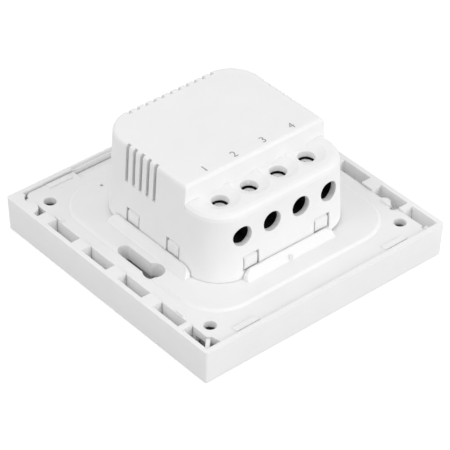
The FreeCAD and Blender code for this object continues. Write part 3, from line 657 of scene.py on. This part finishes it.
def settle(obj: bpy.types.Object, name: str, finish: Finish,
           angle: float = 40.0) -> bpy.types.Object:
    """Finishes a new piece: its place goes into its mesh, with smooth faces and a finish.

    Args:
        obj: The modelled object.
        name: Name of the piece.
        finish: One of the finishes above.
        angle: Faces that meet at less than this many degrees look smooth.

    Returns:
        The same object.
    """
    only(obj)
    bpy.ops.object.transform_apply(location=True, rotation=True, scale=True)
    bpy.ops.object.shade_smooth_by_angle(angle=math.radians(angle))
    obj.name = name
    obj.data.name = name
    obj.data.materials.clear()
    obj.data.materials.append(Paints.of(finish))
    nothing_selected()
    return obj


def copy_to(obj: bpy.types.Object, name: str, move: Matrix) -> bpy.types.Object:
    """Copy of a piece with its own mesh.

    Args:
        obj: The piece to copy.
        name: Name of the copy.
        move: Where the copy's mesh goes.

    Returns:
        The copy.
    """
    copy = obj.copy()
    copy.data = obj.data.copy()
    copy.name = name
    copy.data.name = name
    copy.data.transform(move)
    bpy.context.scene.collection.objects.link(copy)
    return copy


@dataclass(frozen=True)
class Screw:
    """Round-headed screw with a cross recess and a threaded shank, modelled head up.

    Attributes:
        head_r: Radius of the head.
        head_high: Height of the head.
        shank_r: Radius over the thread.
        shank_long: Length below the head.
        pitch: Least distance between threads.
        slot_long: Length of one arm pair at the upper end of the recess's cutter.
        slot_wide: Width of an arm there.
        slot_deep: Depth of the recess.
        rim: Rounding of the head's rim, as a share of its height.
        foot: Size of the cutter's lower end, as a share of its upper end.
        core: Radius between threads, as a share of the one over them.
        sunk: How deep the shank starts in the head, as a share of its height.
        neck: Length of the shank's plain start.
    """

    head_r: float
    head_high: float
    shank_r: float
    shank_long: float
    pitch: float
    slot_long: float
    slot_wide: float
    slot_deep: float
    rim: float = 0.28
    foot: float = 0.55
    core: float = 0.84
    sunk: float = 0.7
    neck: float = 0.2 * MM

    def head(self) -> bpy.types.Object:
        """Head with a rounded rim.

        Returns:
            The head, its top at z = 0.
        """
        nothing_selected()
        bpy.ops.mesh.primitive_cylinder_add(vertices=48, radius=self.head_r, depth=self.head_high,
                                            location=(0, 0, -self.head_high / 2))
        obj = bpy.context.active_object
        bpy.ops.object.mode_set(mode="EDIT")
        top = self.head_high / 2 - SLACK
        pick(obj, Element.EDGE, lambda e: all(v.co.z > top for v in e.verts))
        bpy.ops.mesh.bevel(offset=self.rim * self.head_high, segments=4, affect="EDGES")
        bpy.ops.object.mode_set(mode="OBJECT")
        return obj

    def recess(self) -> bpy.types.Object:
        """Cutter for the cross, narrower at its foot.

        Returns:
            The cutter.
        """
        arms = []
        for turn in (0, 90):
            nothing_selected()
            bpy.ops.mesh.primitive_cube_add(size=1, location=(0, 0, 0))
            arm = bpy.context.active_object
            arm.scale = (self.slot_long, self.slot_wide, 2 * self.slot_deep)
            arm.rotation_euler = (0, 0, math.radians(turn))
            bpy.ops.object.transform_apply(location=True, rotation=True, scale=True)
            bpy.ops.object.mode_set(mode="EDIT")
            pick(arm, Element.FACE, lambda f: f.normal.z < -LEVEL_FACE)
            bpy.ops.transform.resize(value=(self.foot, self.foot, 1.0))
            bpy.ops.object.mode_set(mode="OBJECT")
            arms.append(arm)
        combine(arms[0], arms[1], Join.ADD)
        return arms[0]

    def shank(self) -> bpy.types.Object:
        """Shank whose thread is drawn out ring by ring.

        Returns:
            The shank, its upper end inside the head.
        """
        nothing_selected()
        core = self.core * self.shank_r
        start = -self.sunk * self.head_high
        bpy.ops.mesh.primitive_cylinder_add(vertices=32, radius=core, depth=self.neck,
                                            location=(0, 0, start - self.neck / 2))
        obj = bpy.context.active_object
        bpy.ops.object.transform_apply(location=True, rotation=True, scale=True)
        bpy.ops.object.mode_set(mode="EDIT")
        pick(obj, Element.FACE, lambda f: f.normal.z < -LEVEL_FACE)
        rest = self.shank_long + self.head_high - self.sunk * self.head_high - self.neck
        rings = max(1, int(rest / self.pitch))
        step = rest / (2 * rings)
        for _ in range(rings):
            for size in (self.shank_r / core, core / self.shank_r):
                bpy.ops.mesh.extrude_region_move(
                    TRANSFORM_OT_translate={"value": (0, 0, -step)})
                bpy.ops.transform.resize(value=(size, size, 1.0))
        bpy.ops.object.mode_set(mode="OBJECT")
        return obj

    def build(self, name: str, finish: Finish, slot: str) -> bpy.types.Object:
        """Whole screw with its head's top at the origin.

        Args:
            name: Name of the piece.
            finish: One of the finishes above.
            slot: Not used.

        Returns:
            The finished piece.
        """
        head = self.head()
        combine(head, self.recess(), Join.CUT)
        combine(head, self.shank(), Join.ADD)
        return settle(head, name, finish, angle=35.0)


CLAMP_SCREW = Screw(head_r=1.93 * MM, head_high=0.8 * MM, shank_r=1.44 * MM, shank_long=1.8 * MM,
                    pitch=0.5 * MM, slot_long=2.9 * MM, slot_wide=0.62 * MM, slot_deep=0.5 * MM)
BOARD_SCREW = Screw(head_r=1.78 * MM, head_high=1.2 * MM, shank_r=0.9 * MM, shank_long=4.35 * MM,
                    pitch=0.6 * MM, slot_long=2.2 * MM, slot_wide=0.5 * MM, slot_deep=0.7 * MM)


@dataclass
class FrontFrame:
    """Square frame around the rockers.

    Attributes:
        node: Name of the frame's CAD node.
    """

    node: str = "front_frame"

    def build(self) -> None:
        """Dresses the frame."""
        dress(self.node, WHITE_FRAME)


@dataclass
class MountingPlate:
    """Plate with its collar tabs, hooks and keyholes, and the mark of its mould's gate.

    Attributes:
        gate_r: Radius of the gate mark on the front collar's ramp.
        gate_high: Height of its rim above the ramp.
        gate_at: Middle of the gate mark on the ramp.
        gate_steps: Its inward steps and their rises, as shares of the radius and the height.
        ramp: Rise and run of the ramp.
    """

    gate_r: float = 0.78 * MM
    gate_high: float = 0.14 * MM
    gate_at: Point = (-0.4 * MM, -25.9 * MM, 10.965 * MM)
    gate_steps: tuple[tuple[float, float], ...] = (
        (0.16, 0.0), (0.10, -1.0), (0.24, 0.0), (0.06, 0.75))
    ramp: tuple[float, float] = (2.6 * MM, 1.7 * MM)

    def gate_mark(self) -> None:
        """Round mark that the mould's gate leaves, with a rim and a small nub."""
        nothing_selected()
        bpy.ops.mesh.primitive_cylinder_add(vertices=40, radius=self.gate_r,
                                            depth=2 * self.gate_high)
        obj = bpy.context.active_object
        bpy.ops.object.mode_set(mode="EDIT")
        pick(obj, Element.FACE, lambda f: f.normal.z > LEVEL_FACE)
        for inward, rise in self.gate_steps:
            bpy.ops.mesh.inset(thickness=inward * self.gate_r)
            bpy.ops.transform.translate(value=(0, 0, rise * self.gate_high))
        bpy.ops.object.mode_set(mode="OBJECT")
        obj.location = self.gate_at
        obj.rotation_euler = (math.atan2(self.ramp[0], self.ramp[1]), 0, 0)
        settle(obj, "gate_mark", WHITE_PLATE, angle=30.0)
        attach(obj, "base")
        LOG.info("gate_mark made")

    def build(self) -> None:
        """Dresses the plate and adds its gate mark."""
        dress("mounting_plate", WHITE_PLATE)
        self.gate_mark()


@dataclass
class RearHousing:
    """Vented housing with the terminals' numbers.

    Attributes:
        number_high: Height of a printed number.
        number_share: Height of a number in the font, as a share of the font's size.
        number_y: Line on which the numbers stand.
        ink: Half of a number's thickness.
        ink_sunk: Depth of its middle below the surface, as a share of that half.
    """

    number_high: float = 2.3 * MM
    number_share: float = 0.7
    number_y: float = -9.6 * MM
    ink: float = 0.02 * MM
    ink_sunk: float = 0.8

    def numbers(self) -> None:
        """Plain numbers above the terminals."""
        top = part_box("rear_housing")[1].z
        for number in TERMINALS:
            low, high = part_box("terminal_screw_%d" % number)
            x = (low.x + high.x) / 2
            nothing_selected()
            bpy.ops.object.text_add(location=(x, self.number_y, top - self.ink_sunk * self.ink))
            text = bpy.context.active_object
            text.data.body = str(number)
            text.data.size = self.number_high / self.number_share
            text.data.align_x = "CENTER"
            text.data.extrude = self.ink
            text.data.resolution_u = 6
            bpy.ops.object.convert(target="MESH")
            piece = settle(bpy.context.active_object, "terminal_number_%d" % number,
                           PRINT_INK)
            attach(piece, "base")
            LOG.info("terminal_number_%d printed", number)

    def build(self) -> None:
        """Dresses the housing and prints its numbers."""
        dress("rear_housing", WHITE_HOUSING)
        self.numbers()


@dataclass
class Terminals:
    """Block, bars, cages and clamp screws.

    Attributes:
        screw: The clamp screw.
        turns: How far each screw's recess is turned, in degrees.
    """

    screw: Screw = CLAMP_SCREW
    turns: tuple[float, ...] = (12.0, 58.0, 31.0, 77.0)

    def screws(self) -> None:
        """Clamp screws in place of their plain CAD forms."""
        pattern = self.screw.build("clamp_screw", SCREW_STEEL, "screw_steel")
        for number, turn in zip(TERMINALS, self.turns):
            node = "terminal_screw_%d" % number
            low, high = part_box(node)
            x, y = (low.x + high.x) / 2, (low.y + high.y) / 2
            move = Matrix.Translation((x, y, high.z)) @ Matrix.Rotation(math.radians(turn), 4, "Z")
            piece = copy_to(pattern, "clamp_screw_%d" % number, move)
            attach(piece, node)
            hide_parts(node)
            LOG.info("%s made", piece.name)
        bpy.data.objects.remove(pattern)

    def build(self) -> None:
        """Makes the screws and dresses the rest."""
        self.screws()
        dress("terminal_block", BLACK_TERMINAL)
        dress("terminal_bars", BAR_BRASS)
        for number in TERMINALS:
            dress("terminal_cage_%d" % number, CAGE_STEEL)


@dataclass
class Rockers:
    """Rockers, lenses, light guides and the switches under them.

    Attributes:
        sides: Sides that have a rocker.
        finishes: Nodes of one side, without the side's name, and their finishes.
    """

    sides: tuple[Side, ...] = (Side.LEFT, Side.RIGHT)
    finishes: tuple[tuple[str, Finish], ...] = (
        ("rocker", WHITE_ROCKER), ("indicator", MILKY_LENS),
        ("tact_switch", BLACK_SWITCH), ("tact_stem", BROWN_STEM))

    def build(self) -> None:
        """Dresses both sides."""
        for side in self.sides:
            for name, finish in self.finishes:
                dress("%s_%s" % (name, side.value), finish)
        dress("light_guides", CLEAR_GUIDE)
        dress("indicator_leds", LIGHT_RESIN)


@dataclass
class Boards:
    """Boards with what they carry.

    Attributes:
        screw: The screw that holds the control board.
        finishes: Nodes and their finishes.
    """

    screw: Screw = BOARD_SCREW
    finishes: tuple[tuple[str, Finish], ...] = (
        ("power_board", GREEN_BOARD), ("control_board", GREEN_BOARD),
        ("radio_module", RADIO_BOARD), ("shield_can", CAN_METAL),
        ("relay_1", BLACK_RELAY), ("relay_2", BLACK_RELAY),
        ("transformer", WINDING_TAPE), ("smoothing_capacitors", CAN_SLEEVE),
        ("suppression_capacitor", YELLOW_FILM), ("varistor", BLUE_COAT),
        ("fusible_resistor", RESISTOR_COAT), ("rectifier", DARK_RECTIFIER),
        ("board_header", PIN_PLASTIC), ("insulating_sheet", SHEET_FILM))

    def screws(self) -> None:
        """Both board screws in place of their plain CAD forms."""
        pattern = self.screw.build("board_screw", SCREW_STEEL, "screw_steel")
        low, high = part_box("board_screws")
        reach = (high.y - low.y) / 2 - (high.x - low.x) / 2
        middle = (high.y + low.y) / 2
        for number, sign in ((1, -1), (2, 1)):
            move = Matrix.Translation((0, middle + sign * reach, high.z))
            piece = copy_to(pattern, "board_screw_%d" % number, move)
            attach(piece, "base")
            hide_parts("board_screws")
            LOG.info("%s made", piece.name)
        bpy.data.objects.remove(pattern)

    def build(self) -> None:
        """Makes the screws and dresses the rest."""
        self.screws()
        for name, finish in self.finishes:
            dress(name, finish)


@dataclass(frozen=True)
class Lamp:
    """Square lamp that faces the switch.

    Attributes:
        name: Name of the lamp.
        at: Its place.
        watts: Its power.
        side: Length of its side.
        aim: Point that it faces.
    """

    name: str
    at: Point
    watts: float
    side: float = 0.6
    aim: Point = (0.0, 0.0, 10 * MM)

    def build(self) -> None:
        """Hangs the lamp."""
        data = bpy.data.lights.new(self.name, "AREA")
        data.shape = "SQUARE"
        data.size = self.side
        data.energy = self.watts
        lamp = bpy.data.objects.new(self.name, data)
        lamp.location = self.at
        lamp.rotation_mode = "QUATERNION"
        lamp.rotation_quaternion = (Vector(self.at) - Vector(self.aim)).to_track_quat("Z", "Y")
        bpy.context.scene.collection.objects.link(lamp)
        LOG.info("%s hung", self.name)


@dataclass
class Studio:
    """Camera, lamps, floor and white surroundings.

    Attributes:
        azimuth: Camera's way round, in degrees.
        elevation: Camera's height, in degrees.
        roll: Camera's turn about its own axis, in degrees.
        distance: Camera's distance from its target.
        target: Point that the camera looks at.
        lens: Focal length in millimetres.
        sensor: Width of the camera's sensor in millimetres.
        near: Nearest distance that the camera sees.
        far: Farthest distance that it sees.
        lamps: The lamps.
        even_light: Level of the even light from all sides.
        floor_side: Side of the floor.
        floor_gap: Gap between the floor and the switch.
        floor_tone: Colour of the floor.
        floor_glow: Light that the floor adds for the camera, so that it looks white.
    """

    azimuth: float = -41.295
    elevation: float = 38.104
    roll: float = 1.165
    distance: float = 633.9 * MM
    target: Point = (-3.95 * MM, -4.82 * MM, 10.2 * MM)
    lens: float = 198.8
    sensor: float = 36.0
    near: float = 0.01
    far: float = 20.0
    lamps: tuple[Lamp, ...] = (
        Lamp("front lamp", at=(0.40, -1.12, 0.45), watts=5.3),
        Lamp("side lamp", at=(-0.90, 0.10, 0.93), watts=2.9))
    even_light: float = 0.735
    floor_side: float = 6.0
    floor_gap: float = 0.02 * MM
    floor_tone: Colour = rgb(198, 198, 198)
    floor_glow: float = 0.59

    def camera(self) -> None:
        """Camera at the photograph's angle."""
        az, el, roll = (math.radians(a) for a in (self.azimuth, self.elevation, self.roll))
        back = Vector((math.sin(az) * math.cos(el), -math.cos(az) * math.cos(el), math.sin(el)))
        right = Vector((math.cos(az), math.sin(az), 0))
        up = back.cross(right)
        x = math.cos(roll) * right + math.sin(roll) * up
        y = -math.sin(roll) * right + math.cos(roll) * up
        data = bpy.data.cameras.new("camera")
        data.sensor_width = self.sensor
        data.lens = self.lens
        data.clip_start = self.near
        data.clip_end = self.far
        cam = bpy.data.objects.new("camera", data)
        turn = Matrix((x, y, back)).transposed().to_4x4()
        cam.matrix_world = Matrix.Translation(Vector(self.target) + self.distance * back) @ turn
        bpy.context.scene.collection.objects.link(cam)
        bpy.context.scene.camera = cam

    def plain_share(self, tree: bpy.types.NodeTree) -> Socket:
        """One for rays from the camera, off gloss or through clear plastic, and else zero.

        Args:
            tree: Node tree of the world or of a material.

        Returns:
            The value socket.
        """
        path = tree.nodes.new("ShaderNodeLightPath")
        total = path.outputs["Is Camera Ray"]
        for name in ("Is Glossy Ray", "Is Transmission Ray"):
            node = tree.nodes.new("ShaderNodeMath")
            node.operation = "MAXIMUM"
            tree.links.new(total, node.inputs[0])
            tree.links.new(path.outputs[name], node.inputs[1])
            total = node.outputs[0]
        return total

    def world(self) -> None:
        """White surroundings that light the switch evenly."""
        world = bpy.data.worlds.new("surroundings")
        bpy.context.scene.world = world
        world.use_nodes = True
        tree = world.node_tree
        tree.nodes.clear()
        light, seen = (tree.nodes.new("ShaderNodeBackground") for _ in range(2))
        for node, strength in ((light, self.even_light), (seen, 1.0)):
            node.inputs["Color"].default_value = WHITE
            node.inputs["Strength"].default_value = strength
        mix = tree.nodes.new("ShaderNodeMixShader")
        out = tree.nodes.new("ShaderNodeOutputWorld")
        tree.links.new(self.plain_share(tree), mix.inputs[0])
        tree.links.new(light.outputs[0], mix.inputs[1])
        tree.links.new(seen.outputs[0], mix.inputs[2])
        tree.links.new(mix.outputs[0], out.inputs[0])

    def floor(self) -> None:
        """Plain white floor that keeps the switch's shadow."""
        nothing_selected()
        bpy.ops.mesh.primitive_plane_add(size=self.floor_side, location=(0, 0, -self.floor_gap))
        floor = bpy.context.active_object
        floor.name = "floor"
        material = bpy.data.materials.new("white floor")
        material.use_nodes = True
        tree = material.node_tree
        tree.nodes.clear()
        matt = tree.nodes.new("ShaderNodeBsdfDiffuse")
        matt.inputs["Color"].default_value = self.floor_tone
        light = tree.nodes.new("ShaderNodeEmission")
        light.inputs["Color"].default_value = WHITE
        level = tree.nodes.new("ShaderNodeMath")
        level.operation = "MULTIPLY"
        level.inputs[1].default_value = self.floor_glow
        both = tree.nodes.new("ShaderNodeAddShader")
        out = tree.nodes.new("ShaderNodeOutputMaterial")
        tree.links.new(self.plain_share(tree), level.inputs[0])
        tree.links.new(level.outputs[0], light.inputs["Strength"])
        tree.links.new(matt.outputs[0], both.inputs[0])
        tree.links.new(light.outputs[0], both.inputs[1])
        tree.links.new(both.outputs[0], out.inputs["Surface"])
        floor.data.materials.append(material)
        nothing_selected()

    def build(self) -> None:
        """Sets up the whole studio."""
        bpy.context.scene.view_settings.view_transform = "Standard"
        self.camera()
        self.world()
        for lamp in self.lamps:
            lamp.build()
        self.floor()


def main() -> None:
    """Builds and dresses every sub-assembly in order."""
    logging.basicConfig(level=logging.INFO, format="%(message)s")
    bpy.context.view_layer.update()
    Studio().build()
    for part in (FrontFrame(), MountingPlate(), RearHousing(), Terminals(), Rockers(), Boards()):
        part.build()


if __name__ == "__main__":
    main()
